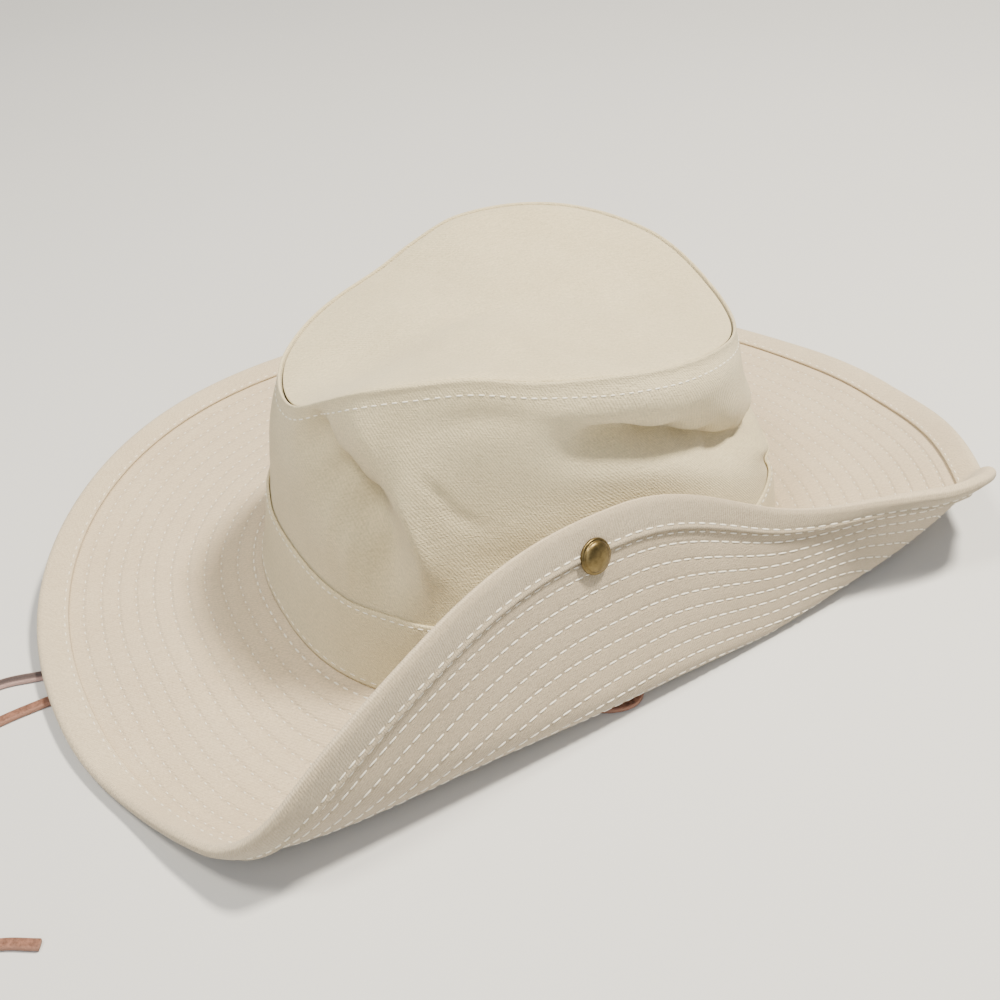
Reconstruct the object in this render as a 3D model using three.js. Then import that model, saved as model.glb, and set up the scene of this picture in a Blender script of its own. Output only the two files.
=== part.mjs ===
// Safari hat at rest: a soft two-panel crown, a stitched brim with its near side turned up and snapped
// to the crown, and a chin cord of two flat leather laces. Millimetres: +X runs along the head opening,
// -Y is the turned up side and +Z is up. The hat rests on the plane z = 0.
import * as THREE from "three";

// Head opening, where the brim meets the foot of the crown
const HEAD_HALF_LENGTH = 98;
const HEAD_HALF_WIDTH = 85;
const HEAD_POWER = 2.33;

// Crown
const CROWN_HEIGHT = 100;
const CROWN_WALL = 1.6;
const TIP_HALF_LENGTH = 86;
const TIP_HALF_WIDTH = 61;
const TIP_POWER = 2.06;
const TIP_SHIFT_LONG = 0;
const TIP_SHIFT_ACROSS = 2.5;
const TIP_MIDDLE = 1.0;
const TIP_EASE = 1.6;
const TIP_SEAM = 0.05;
const CROWN_PUFF = 4;

// Hat band around the foot of the crown
const BAND_HEIGHT = 30;
const BAND_WALL = 1.2;

// Brim and the binding folded over its edge
const BRIM_WIDTH = 86;
const BRIM_WALL = 2;
const CORNER_ANGLE = 217;
const CORNER_SPREAD = 18;
const CORNER_REACH = 14;
const BINDING_WIDTH = 12;
const BINDING_WALL = 1;

// The turn-up of the near side of the brim: a roll about a line along the hat
const TURN_OFFSET = 0.5;
const TURN_SKEW = 1.9;
const TURN_BOW = -2.1;
const TURN_RADIUS = 11.6;
const TURN_RADIUS_CHANGE = -9.2;
const TURN_RADIUS_LEAST = 6;
const TURN_HALF_SPAN = 150;
const TURN_ANGLE = 115;
const TURN_ANGLE_CHANGE = -15;
const TURN_ANGLE_BOW = 44;

// How the hat lies on the surface
const LEAN_LONG = -1.6;
const LEAN_ACROSS = 3;
const HEAD_LIFT = 9.4;
const FLOOR_BLEND = 2;

// Snap
const SNAP_DIAMETER = 12.5;
const SNAP_DOME = 3.2;
const SNAP_RIM = 1;
const SNAP_STEP_IN = 0.3;
const SNAP_ROUND = [60, 40, 20];
const SNAP_INSET = 12;
const SNAP_ANGLE = -94;
const SOCKET_DIAMETER = 11;
const SOCKET_FLANGE = 1;
const STUD_DIAMETER = 5;
const SOCKET_SEARCH = 0.005;

// Chin cord: flat leather laces that lie on the surface, and the leather slide that holds both
const LACE_WIDTH = 4;
const LACE_THICKNESS = 2;
const LACE_ROUND = 0.5;
const SLIDE_LENGTH = 12;
const SLIDE_WALL = 1.5;
const SLIDE_PLACE = { x: -281, y: -24, heading: 220 };
const SLIDE_SPACING = 4.7;
const SLIDE_ROOM = 0.7;

// Gap between pieces that touch
const CLEARANCE = 0.3;

const RADIANS = Math.PI / 180;

// Shape of the brim by angle round the head: its rise at the edge and how much it curls up on the way
// there, both in radians
const BRIM_SHAPE = [
  { angle: -90, rise: -0.08, curl: 0.55 },
  { angle: -68, rise: -0.32, curl: 0.02 },
  { angle: -48, rise: -0.08, curl: -0.3 },
  { angle: -30, rise: 0.3, curl: 0.35 },
  { angle: 0, rise: 0.08, curl: 0.4 },
  { angle: 40, rise: -0.14, curl: 0.45 },
  { angle: 90, rise: -0.08, curl: 0.6 },
  { angle: 140, rise: 0.02, curl: 0.75 },
  { angle: 170, rise: -0.1, curl: 0.35 },
  { angle: 180, rise: -0.1, curl: 0.3 },
  { angle: 198, rise: -0.07, curl: 0.85 },
  { angle: 215, rise: 0.035, curl: 0.75 },
  { angle: 242, rise: 0.16, curl: 0.7 },
];

// Height of the tip seam by angle round the crown, as a share of the crown's height
const TIP_RIM = [
  { angle: 0, height: 0.82 },
  { angle: 30, height: 0.94 },
  { angle: 60, height: 1.03 },
  { angle: 85, height: 1.035 },
  { angle: 97, height: 0.975 },
  { angle: 108, height: 0.915 },
  { angle: 125, height: 0.885 },
  { angle: 150, height: 0.86 },
  { angle: 180, height: 0.87 },
  { angle: 210, height: 1.06 },
  { angle: 225, height: 1.115 },
  { angle: 240, height: 1.135 },
  { angle: 255, height: 1.09 },
  { angle: 270, height: 1.05 },
  { angle: 300, height: 0.95 },
  { angle: 330, height: 0.85 },
];

// Folds of the crown's side: where each lies by angle and share of the height, how far it spreads both
// ways, and its depth inwards as a share of the crown's height, negative where it stands out
const CROWN_FOLDS = [
  { angle: 268, height: 0.56, across: 45, tall: 0.3, depth: 0.1 },
  { angle: 185, height: 0.35, across: 35, tall: 0.3, depth: 0.06 },
  { angle: 195, height: 0.89, across: 6, tall: 0.09, depth: 0.06 },
  { angle: 203, height: 0.77, across: 7, tall: 0.1, depth: 0.1 },
  { angle: 211, height: 0.64, across: 7, tall: 0.11, depth: 0.11 },
  { angle: 217, height: 0.48, across: 6, tall: 0.14, depth: 0.07 },
  { angle: 200, height: 0.5, across: 10, tall: 0.14, depth: -0.02 },
  { angle: 212, height: 0.86, across: 7, tall: 0.1, depth: -0.025 },
  { angle: 224, height: 0.7, across: 7, tall: 0.14, depth: -0.035 },
  { angle: 229, height: 0.52, across: 7, tall: 0.14, depth: -0.03 },
  { angle: 272, height: 0.81, across: 9, tall: 0.08, depth: 0.075 },
  { angle: 285, height: 0.76, across: 9, tall: 0.09, depth: 0.11 },
  { angle: 298, height: 0.69, across: 9, tall: 0.09, depth: 0.12 },
  { angle: 311, height: 0.62, across: 8, tall: 0.09, depth: 0.11 },
  { angle: 323, height: 0.57, across: 8, tall: 0.08, depth: 0.07 },
  { angle: 288, height: 0.93, across: 25, tall: 0.08, depth: -0.03 },
  { angle: 343, height: 0.82, across: 20, tall: 0.22, depth: 0.045 },
  { angle: 338, height: 0.53, across: 9, tall: 0.06, depth: 0.08 },
];

// Middle line of each lace, from the head opening to its cut end
const NEAR_LACE = [
  { x: 8, y: -78.5, z: 3.6 },
  { x: 3, y: -81.5, z: 2.1 },
  { x: -3, y: -86.2, z: 1.3 },
  { x: -8.5, y: -88.3, z: 1.2 },
  { x: -15, y: -87.6, z: 1.2 },
  { x: -25, y: -82.5, z: 1.2 },
  { x: -48, y: -66, z: 1.2 },
  { x: -70, y: -42, z: 1.2 },
  { x: -88, y: -17, z: 1.2 },
  { x: -106, y: 1, z: 1.2 },
  { x: -130, y: 10, z: 1.2 },
  { x: -155, y: 13.5, z: 1.2 },
  { x: -180, y: 14, z: 1.2 },
  { x: -202, y: 13, z: 1.2 },
  { x: -225, y: 8, z: 1.2 },
  { x: -250, y: -3, z: 1.4 },
  { x: -263, y: -12.2, z: 2.5 },
  { x: -272.6, y: -20, z: 3.2 },
  { x: -286.4, y: -31.6, z: 3.2 },
  { x: -293.5, y: -40, z: 2.3 },
  { x: -298, y: -52, z: 1.4 },
  { x: -297, y: -67, z: 1.2 },
  { x: -287, y: -77, z: 1.2 },
  { x: -272, y: -81, z: 1.2 },
  { x: -254, y: -80.5, z: 1.2 },
  { x: -237, y: -79.5, z: 1.2 },
  { x: -224, y: -82.5, z: 1.2 },
  { x: -213, y: -89, z: 1.2 },
];
const FAR_LACE = [
  { x: 3, y: 80, z: 10.8 },
  { x: -6, y: 74.5, z: 8 },
  { x: -16, y: 69.5, z: 4.8 },
  { x: -28, y: 65, z: 2.2 },
  { x: -42, y: 61, z: 1.3 },
  { x: -58, y: 57.5, z: 1.2 },
  { x: -90, y: 49, z: 1.2 },
  { x: -125, y: 39, z: 1.2 },
  { x: -152, y: 31, z: 1.2 },
  { x: -177, y: 27.5, z: 1.2 },
  { x: -198, y: 32, z: 1.2 },
  { x: -220, y: 27, z: 1.2 },
  { x: -243, y: 12, z: 1.4 },
  { x: -265, y: -7.6, z: 2.6 },
  { x: -275.6, y: -16.4, z: 3.2 },
  { x: -289.4, y: -28, z: 3.2 },
  { x: -298.5, y: -34, z: 2.4 },
  { x: -309, y: -38, z: 1.5 },
  { x: -322, y: -40, z: 1.2 },
  { x: -336, y: -38, z: 1.2 },
  { x: -348, y: -34, z: 1.2 },
];

// Samples round the head, closer together at the two corners of the turn-up
const ROUND_STEPS = [
  { from: -90, to: -50, step: 5 },
  { from: -50, to: -15, step: 3.5 },
  { from: -15, to: 185, step: 8 },
  { from: 185, to: 255, step: 3.5 },
  { from: 255, to: 270, step: 5 },
];
const BRIM_ROWS = 8;
const BAND_ROWS = 3;
const TIP_ROWS = 4;
const SNAP_SEGMENTS = 20;
const LACE_STEPS = 40;

// Shares of the crown's height at which its side is sampled
const CROWN_ROWS = [0, 0.11, 0.22, 0.33, 0.46, 0.58, 0.68, 0.78, 0.88, 1];

// Smooth closed curve through a table's rows, by angle in degrees
function aroundTable(rows, column) {
  const count = rows.length;
  const wrap = (i) => ((i % count) + count) % count;
  const knot = (i) => rows[wrap(i)].angle + 360 * Math.floor(i / count);
  const value = (i) => rows[wrap(i)][column];
  const slope = (i) => (value(i + 1) - value(i - 1)) / (knot(i + 1) - knot(i - 1));
  return (angle) => {
    const turned = knot(0) + ((((angle - knot(0)) % 360) + 360) % 360);
    let i = 0;
    while (i < count - 1 && turned >= knot(i + 1)) i += 1;
    const span = knot(i + 1) - knot(i);
    const t = (turned - knot(i)) / span;
    const rest = 1 - t;
    const ends = value(i) * (1 + 2 * t) * rest * rest + value(i + 1) * t * t * (3 - 2 * t);
    return ends + span * (slope(i) * t * rest * rest - slope(i + 1) * t * t * rest);
  };
}

// Difference of two angles in degrees, between -180 and 180
function turnBetween(angle, other) {
  return ((((angle - other + 180) % 360) + 360) % 360) - 180;
}

function bell(value) {
  return Math.exp(-value * value);
}

const brimRise = aroundTable(BRIM_SHAPE, "rise");
const brimCurl = aroundTable(BRIM_SHAPE, "curl");
const tipRim = aroundTable(TIP_RIM, "height");

// Point and outward direction of an oval at an angle round it
function oval(angle, halfLength, halfWidth, power) {
  const c = Math.cos(angle * RADIANS);
  const s = Math.sin(angle * RADIANS);
  const x = halfLength * Math.sign(c) * Math.abs(c) ** (2 / power);
  const y = halfWidth * Math.sign(s) * Math.abs(s) ** (2 / power);
  const outX = (Math.sign(c) * Math.abs(c) ** (2 - 2 / power)) / halfLength;
  const outY = (Math.sign(s) * Math.abs(s) ** (2 - 2 / power)) / halfWidth;
  const length = Math.hypot(outX, outY);
  return { x, y, outX: outX / length, outY: outY / length };
}

// Middle of the brim's thickness, at an angle and a reach out from the head line, before the turn-up
function flatBrim(angle, reach) {
  const edge = oval(angle, HEAD_HALF_LENGTH, HEAD_HALF_WIDTH, HEAD_POWER);
  const corner = bell(turnBetween(angle, CORNER_ANGLE) / CORNER_SPREAD);
  const far = reach * (1 + (CORNER_REACH / BRIM_WIDTH) * corner);
  const curl = brimCurl(angle);
  const share = far / BRIM_WIDTH;
  const out = far * Math.cos(brimRise(angle) + curl * (share - 0.5));
  const up = far * Math.sin(brimRise(angle) + curl * (share / 2 - 0.5));
  return new THREE.Vector3(edge.x + out * edge.outX, edge.y + out * edge.outY, up);
}

// Rolls what lies past the turn line up towards the crown, keeping its length
function turnUp(point) {
  const skew = TURN_SKEW * RADIANS;
  const along = point.x * Math.cos(skew) + point.y * Math.sin(skew);
  const across = -point.x * Math.sin(skew) + point.y * Math.cos(skew);
  const share = along / TURN_HALF_SPAN;
  const line = HEAD_HALF_WIDTH + TURN_OFFSET + TURN_BOW * share * share;
  const past = -line - across;
  if (past <= 0) return point;
  const radius = Math.max(TURN_RADIUS + TURN_RADIUS_CHANGE * share, TURN_RADIUS_LEAST);
  const degrees = TURN_ANGLE + TURN_ANGLE_CHANGE * share - TURN_ANGLE_BOW * share * share;
  const whole = degrees * RADIANS;
  const turned = Math.min(past / radius, whole);
  const rest = Math.max(past - radius * whole, 0);
  const newAcross = -line - radius * Math.sin(turned) - rest * Math.cos(whole);
  const rise = radius * (1 - Math.cos(turned)) + rest * Math.sin(whole);
  return new THREE.Vector3(
    along * Math.cos(skew) - newAcross * Math.sin(skew),
    along * Math.sin(skew) + newAcross * Math.cos(skew),
    point.z + rise,
  );
}

// Leans the hat as it lies and lifts it onto the surface
function layDown(point) {
  const laid = point.clone();
  laid.applyAxisAngle(new THREE.Vector3(0, 1, 0), -LEAN_LONG * RADIANS);
  laid.applyAxisAngle(new THREE.Vector3(1, 0, 0), LEAN_ACROSS * RADIANS);
  laid.z += HEAD_LIFT;
  return laid;
}

// Flattens what would sink into the surface, with a short soft start
function restAt(point, lowest) {
  const above = point.z - lowest;
  if (above >= FLOOR_BLEND) return point;
  const kept = above <= -FLOOR_BLEND ? 0 : (above + FLOOR_BLEND) ** 2 / (4 * FLOOR_BLEND);
  return new THREE.Vector3(point.x, point.y, lowest + kept);
}

// Half of the brim's whole thickness at a reach, more where the binding covers it
function halfThickness(reach) {
  const bare = BRIM_WALL / 2;
  const bound = bare + CLEARANCE + BINDING_WALL;
  const start = BRIM_WIDTH - 2 * BINDING_WIDTH;
  const t = Math.min(Math.max((reach - start) / BINDING_WIDTH, 0), 1);
  return bare + (bound - bare) * t * t * (3 - 2 * t);
}

// Middle of the brim's thickness as the hat lies
function brimMiddle(angle, reach) {
  return restAt(layDown(turnUp(flatBrim(angle, reach))), halfThickness(reach));
}

// Point a height above the middle of the brim, along the brim's own upward direction
function brimPoint(angle, reach, height) {
  const step = 0.5;
  const outward = brimMiddle(angle, reach + step).sub(brimMiddle(angle, reach - step));
  const round = brimMiddle(angle + step, reach).sub(brimMiddle(angle - step, reach));
  const normal = outward.cross(round).normalize();
  return brimMiddle(angle, reach).addScaledVector(normal, height);
}

// Angles of the samples round the head
function roundAngles() {
  const angles = [];
  for (const { from, to, step } of ROUND_STEPS) {
    for (let angle = from; angle < to; angle += step) angles.push(angle);
  }
  return angles;
}

// Closed solid over rings of points, each quad split by its shorter diagonal. A ring of one point is a
// pole, and without poles the last ring joins the first.
function ringSolid(rings) {
  const points = [];
  const starts = rings.map((ring) => {
    const start = points.length;
    points.push(...ring);
    return start;
  });
  const faces = [];
  const count = Math.max(...rings.map((ring) => ring.length));
  const at = (k, i) => starts[k] + (rings[k].length === 1 ? 0 : i % count);
  const bands = rings[0].length === 1 ? rings.length - 1 : rings.length;
  for (let k = 0; k < bands; k += 1) {
    const next = (k + 1) % rings.length;
    for (let i = 0; i < count; i += 1) {
      const [a, b, c, d] = [at(k, i), at(k, i + 1), at(next, i), at(next, i + 1)];
      if (a === b) faces.push(a, d, c);
      else if (c === d) faces.push(a, b, c);
      else if (points[a].distanceTo(points[d]) < points[b].distanceTo(points[c])) faces.push(a, b, d, a, d, c);
      else faces.push(a, b, c, b, d, c);
    }
  }
  const geometry = new THREE.BufferGeometry().setFromPoints(points);
  geometry.setIndex(faces);
  if (signedVolume(points, faces) < 0) geometry.setIndex(faces.reverse());
  geometry.computeVertexNormals();
  return geometry;
}

function signedVolume(points, faces) {
  let sum = 0;
  for (let i = 0; i < faces.length; i += 3) {
    const [a, b, c] = [points[faces[i]], points[faces[i + 1]], points[faces[i + 2]]];
    sum += a.dot(b.clone().cross(c));
  }
  return sum / 6;
}

// Brim: one stitched sheet from the foot of the crown to just inside the binding
function brimGeometry() {
  const inner = -(BAND_WALL + CLEARANCE + CROWN_WALL);
  const bound = BRIM_WIDTH - BINDING_WIDTH;
  const reaches = [inner];
  for (let row = 0; row <= BRIM_ROWS; row += 1) reaches.push((bound * row) / BRIM_ROWS);
  reaches.push(BRIM_WIDTH - BINDING_WIDTH / 2, BRIM_WIDTH - BINDING_WALL - CLEARANCE);
  const ring = (reach, height) => roundAngles().map((angle) => brimPoint(angle, reach, height));
  const top = reaches.map((reach) => ring(reach, BRIM_WALL / 2));
  const under = reaches.map((reach) => ring(reach, -BRIM_WALL / 2));
  return ringSolid([...top, ...under.reverse()]);
}

// Binding: a strip folded round the brim's edge
function bindingGeometry() {
  const inside = BRIM_WALL / 2 + CLEARANCE;
  const outside = inside + BINDING_WALL;
  const middle = BRIM_WIDTH - BINDING_WIDTH / 2;
  const start = BRIM_WIDTH - BINDING_WIDTH;
  const shoulder = BRIM_WIDTH - BINDING_WALL;
  const section = [
    [start, outside],
    [middle, outside],
    [shoulder, outside],
    [BRIM_WIDTH, inside / 2],
    [BRIM_WIDTH, -inside / 2],
    [shoulder, -outside],
    [middle, -outside],
    [start, -outside],
    [start, -inside],
    [middle, -inside],
    [shoulder, -inside],
    [shoulder, inside],
    [middle, inside],
    [start, inside],
  ];
  const rings = section.map(([reach, height]) => {
    return roundAngles().map((angle) => brimPoint(angle, reach, height));
  });
  return ringSolid(rings);
}

// Outside of the crown's wall at an angle and a share of its height, before the hat is laid down
function crownRaw(angle, share) {
  const inset = BAND_WALL + CLEARANCE;
  const foot = oval(angle, HEAD_HALF_LENGTH - inset, HEAD_HALF_WIDTH - inset, HEAD_POWER);
  const tip = oval(angle, TIP_HALF_LENGTH, TIP_HALF_WIDTH, TIP_POWER);
  const puff = CROWN_PUFF * 4 * share * (1 - share);
  let fold = 0;
  for (const row of CROWN_FOLDS) {
    const across = bell(turnBetween(angle, row.angle) / row.across);
    fold += row.depth * CROWN_HEIGHT * across * bell((share - row.height) / row.tall);
  }
  const out = puff - fold;
  const x = foot.x + (tip.x + TIP_SHIFT_LONG - foot.x) * share + foot.outX * out;
  const y = foot.y + (tip.y + TIP_SHIFT_ACROSS - foot.y) * share + foot.outY * out;
  return new THREE.Vector3(x, y, CROWN_HEIGHT * tipRim(angle) * share);
}

// Outward unit normal of the crown's wall as the hat lies, level at the tip seam
function crownNormal(angle, share) {
  const step = 0.01;
  const low = Math.max(share - step, 0);
  const high = Math.min(share + step, 1);
  const up = layDown(crownRaw(angle, high)).sub(layDown(crownRaw(angle, low)));
  const round = layDown(crownRaw(angle + 1, share)).sub(layDown(crownRaw(angle - 1, share)));
  const normal = round.cross(up);
  if (share === 1) normal.z = 0;
  return normal.normalize();
}

// Point of the crown's wall a depth in from its outside
function crownPoint(angle, share, depth) {
  if (share === 0) {
    const reach = -(BAND_WALL + CLEARANCE + depth);
    return brimPoint(angle, reach, BRIM_WALL / 2 + CLEARANCE);
  }
  return layDown(crownRaw(angle, share)).addScaledVector(crownNormal(angle, share), -depth);
}

// Side panel of the crown, from the brim to the tip seam
function crownSideGeometry() {
  const ring = (share, depth) => roundAngles().map((angle) => crownPoint(angle, share, depth));
  const outside = CROWN_ROWS.map((share) => ring(share, 0));
  const inside = CROWN_ROWS.map((share) => ring(share, CROWN_WALL));
  return ringSolid([...outside, ...inside.reverse()]);
}

// Tip panel of the crown: level across its seam, then easing to the height of its middle
function tipPoint(angle, share, height) {
  const rim = crownRaw(angle, 1);
  const inward = Math.min(share / (1 - TIP_SEAM), 1);
  const middle = CROWN_HEIGHT * TIP_MIDDLE;
  const x = TIP_SHIFT_LONG + (rim.x - TIP_SHIFT_LONG) * share;
  const y = TIP_SHIFT_ACROSS + (rim.y - TIP_SHIFT_ACROSS) * share;
  const z = middle + (rim.z - middle) * inward ** TIP_EASE;
  const laid = layDown(new THREE.Vector3(x, y, z));
  laid.z += height;
  return laid;
}

function tipGeometry() {
  const shares = [];
  for (let row = 1; row <= TIP_ROWS; row += 1) shares.push(((1 - TIP_SEAM) * row) / TIP_ROWS);
  shares.push(1);
  const ring = (share, height) => roundAngles().map((angle) => tipPoint(angle, share, height));
  const top = shares.map((share) => ring(share, CLEARANCE + CROWN_WALL));
  const under = shares.map((share) => ring(share, CLEARANCE));
  const topPole = [tipPoint(0, 0, CLEARANCE + CROWN_WALL)];
  const underPole = [tipPoint(0, 0, CLEARANCE)];
  return ringSolid([topPole, ...top, ...under.reverse(), underPole]);
}

// Band round the foot of the crown
function bandGeometry() {
  const ring = (row, out) => {
    return roundAngles().map((angle) => {
      if (row === 0) return brimPoint(angle, out - BAND_WALL - CLEARANCE, BRIM_WALL / 2 + CLEARANCE);
      const share = (BAND_HEIGHT * row) / BAND_ROWS / (CROWN_HEIGHT * tipRim(angle));
      return crownPoint(angle, share, -out);
    });
  };
  const outside = [];
  const inside = [];
  for (let row = 0; row <= BAND_ROWS; row += 1) {
    outside.push(ring(row, CLEARANCE + BAND_WALL));
    inside.push(ring(row, CLEARANCE));
  }
  return ringSolid([...outside, ...inside.reverse()]);
}

// Turned piece along a direction, from a profile of radius and height
function turned(profile, place, direction) {
  const outline = profile.map(([radius, height]) => new THREE.Vector2(radius, height));
  const geometry = new THREE.LatheGeometry(outline, SNAP_SEGMENTS);
  const turn = new THREE.Quaternion();
  turn.setFromUnitVectors(new THREE.Vector3(0, 1, 0), direction);
  return geometry.applyQuaternion(turn).translate(place.x, place.y, place.z);
}

// Both halves of the snap sit on the binding, this far from the middle of the brim's thickness
const snapLevel = BRIM_WALL / 2 + BINDING_WALL + 2 * CLEARANCE;

// Domed cap of the snap, on the underside of the brim
function snapCapGeometry() {
  const reach = BRIM_WIDTH - SNAP_INSET;
  const seat = brimPoint(SNAP_ANGLE, reach, -snapLevel);
  const direction = seat.clone().sub(brimPoint(SNAP_ANGLE, reach, 0)).normalize();
  const radius = SNAP_DIAMETER / 2;
  const profile = [[0, 0], [radius, 0], [radius, SNAP_RIM], [radius - SNAP_STEP_IN, SNAP_RIM]];
  for (const degrees of SNAP_ROUND) {
    const turn = degrees * RADIANS;
    const rise = (SNAP_DOME - SNAP_RIM) * Math.cos(turn);
    profile.push([(radius - SNAP_STEP_IN) * Math.sin(turn), SNAP_RIM + rise]);
  }
  profile.push([0, SNAP_DOME]);
  return turned(profile, seat, direction);
}

// Hidden half of the snap: a stud between the brim and the crown, as long as the space there
function snapSocketGeometry() {
  const reach = BRIM_WIDTH - SNAP_INSET;
  const seat = brimPoint(SNAP_ANGLE, reach, snapLevel);
  const direction = seat.clone().sub(brimPoint(SNAP_ANGLE, reach, 0)).normalize();
  let nearest = Infinity;
  let space = 0;
  for (let share = SOCKET_SEARCH; share < 1; share += SOCKET_SEARCH) {
    const offset = crownPoint(SNAP_ANGLE, share, 0).sub(seat);
    const along = offset.dot(direction);
    const aside = offset.addScaledVector(direction, -along).length();
    if (aside < nearest) [nearest, space] = [aside, along];
  }
  const height = space - 2 * CLEARANCE;
  const wide = SOCKET_DIAMETER / 2;
  const narrow = STUD_DIAMETER / 2;
  const profile = [[0, 0], [wide, 0], [wide, SOCKET_FLANGE], [narrow, SOCKET_FLANGE], [narrow, height], [0, height]];
  return turned(profile, seat, direction);
}

// Oblong outline with cut corners, in an extrusion's own plane
function oblong(width, height, corner) {
  const [w, h] = [width / 2, height / 2];
  const corners = [
    [w, corner - h], [w, h - corner], [w - corner, h], [corner - w, h],
    [-w, h - corner], [-w, corner - h], [corner - w, -h], [w - corner, -h],
  ];
  return corners.map(([x, y]) => new THREE.Vector2(x, y));
}

// Lace along its middle line, flat side down
function laceGeometry(rows) {
  const route = rows.map((row) => new THREE.Vector3(row.x, row.y, row.z));
  const path = new THREE.CatmullRomCurve3(route, false, "centripetal");
  const section = new THREE.Shape(oblong(LACE_THICKNESS, LACE_WIDTH, LACE_ROUND));
  return new THREE.ExtrudeGeometry(section, { steps: LACE_STEPS, extrudePath: path });
}

// Slide: a leather sleeve round both laces
function slideGeometry() {
  const holeWidth = SLIDE_SPACING + LACE_WIDTH + 2 * SLIDE_ROOM;
  const holeHeight = LACE_THICKNESS + 2 * SLIDE_ROOM;
  const height = holeHeight + 2 * SLIDE_WALL;
  const sleeve = new THREE.Shape(oblong(holeWidth + 2 * SLIDE_WALL, height, SLIDE_WALL / 2));
  sleeve.holes.push(new THREE.Path(oblong(holeWidth, holeHeight, SLIDE_ROOM / 2)));
  const geometry = new THREE.ExtrudeGeometry(sleeve, { depth: SLIDE_LENGTH, bevelEnabled: false });
  geometry.translate(0, 0, -SLIDE_LENGTH / 2);
  geometry.rotateX(Math.PI / 2);
  geometry.rotateZ((SLIDE_PLACE.heading + 90) * RADIANS);
  return geometry.translate(SLIDE_PLACE.x, SLIDE_PLACE.y, height / 2);
}

function piece(name, geometry, colour, roughness, metalness) {
  const material = new THREE.MeshStandardMaterial({ color: colour, roughness, metalness });
  const mesh = new THREE.Mesh(geometry, material);
  mesh.name = name;
  return mesh;
}

const hat = new THREE.Group();
hat.add(
  piece("crown_side", crownSideGeometry(), 0xcfc5b2, 0.9, 0),
  piece("crown_tip", tipGeometry(), 0xd2c8b2, 0.9, 0),
  piece("hat_band", bandGeometry(), 0xcdc2ae, 0.9, 0),
  piece("brim", brimGeometry(), 0xcfc3b3, 0.9, 0),
  piece("brim_binding", bindingGeometry(), 0xcdc1ae, 0.9, 0),
  piece("snap_socket", snapSocketGeometry(), 0x6e5c38, 0.4, 1),
  piece("snap_cap", snapCapGeometry(), 0x6e5c38, 0.35, 1),
);
const bounds = new THREE.Box3().setFromObject(hat);
const centre = bounds.getCenter(new THREE.Vector3());
hat.add(
  piece("chin_lace_near", laceGeometry(NEAR_LACE), 0x6b5242, 0.6, 0),
  piece("chin_lace_far", laceGeometry(FAR_LACE), 0x8a5d3c, 0.6, 0),
  piece("lace_slide", slideGeometry(), 0x5c4334, 0.6, 0),
);

// The origin is the middle of the hat's footprint on the surface
hat.position.set(-centre.x, -centre.y, -bounds.min.z);

export default hat;
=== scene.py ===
"""Looks of the safari hat: stitched twill, folded binding, snap and leather laces over the CAD frame."""

import math

import bpy
import numpy as np
from mathutils import Matrix, Vector


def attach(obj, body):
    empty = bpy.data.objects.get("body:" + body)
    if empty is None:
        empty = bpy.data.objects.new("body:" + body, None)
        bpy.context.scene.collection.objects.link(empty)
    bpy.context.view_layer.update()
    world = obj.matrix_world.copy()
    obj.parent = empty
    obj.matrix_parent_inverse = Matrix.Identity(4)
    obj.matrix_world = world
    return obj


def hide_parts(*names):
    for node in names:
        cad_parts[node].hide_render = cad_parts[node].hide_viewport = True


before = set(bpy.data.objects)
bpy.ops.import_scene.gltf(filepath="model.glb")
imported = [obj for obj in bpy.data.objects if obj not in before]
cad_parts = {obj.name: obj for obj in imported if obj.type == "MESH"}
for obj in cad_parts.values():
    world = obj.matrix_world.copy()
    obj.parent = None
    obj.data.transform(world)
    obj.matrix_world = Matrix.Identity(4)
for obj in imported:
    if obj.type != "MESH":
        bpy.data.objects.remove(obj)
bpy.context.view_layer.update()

# Sizes in millimetres, angles in degrees, as in the part's source
HEAD_HALF_LENGTH, HEAD_HALF_WIDTH, HEAD_POWER = 98, 85, 2.33
CROWN_HEIGHT, CROWN_WALL, CROWN_PUFF, CROWN_SEAT = 100, 1.6, 4, 0.11
TIP_HALF_LENGTH, TIP_HALF_WIDTH, TIP_POWER = 86, 61, 2.06
TIP_SHIFT_ACROSS, TIP_MIDDLE, TIP_EASE, TIP_SEAM = 2.5, 1.0, 1.6, 0.05
BAND_HEIGHT, BAND_WALL = 30, 1.2
BRIM_WIDTH, BRIM_WALL = 86, 2
CORNER_ANGLE, CORNER_SPREAD, CORNER_REACH = 217, 18, 14
BINDING_WIDTH, BINDING_WALL = 12, 1
TURN_OFFSET, TURN_SKEW, TURN_BOW = 0.5, 1.9, -2.1
TURN_RADIUS, TURN_RADIUS_CHANGE, TURN_RADIUS_LEAST = 11.6, -9.2, 6
TURN_HALF_SPAN, TURN_ANGLE, TURN_ANGLE_CHANGE, TURN_ANGLE_BOW = 150, 115, -15, 44
LEAN_LONG, LEAN_ACROSS, HEAD_LIFT, FLOOR_BLEND = -1.6, 3, 9.4, 2
SNAP_DIAMETER, SNAP_INSET, SNAP_ANGLE = 12.5, 12, -94
CLEARANCE = 0.3
ORIGIN = np.array([1.5145, -28.5792, 0])

# Stitching: rows on the brim, and the pitch along a row
ROW_FIRST, ROW_PITCH, ROW_COUNT = 3.5, 6.5, 11
STITCH_PITCH = 4.4
# Painted shade: cloth that faces down is darkened to this share of its colour
UNDERSIDE_PAINTED_SHADE = 0.66

# Rings start at the back, where the seams are, and the weave's millimetres go by degrees
RING_START = 80
ANGLES = np.arange(RING_START, RING_START + 360, 0.9)
PANEL_PER_DEGREE, BINDING_PER_DEGREE = 1.62, 2.8
EDGE_TURN = np.radians([90, 45, 0, -45, -90])

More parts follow.
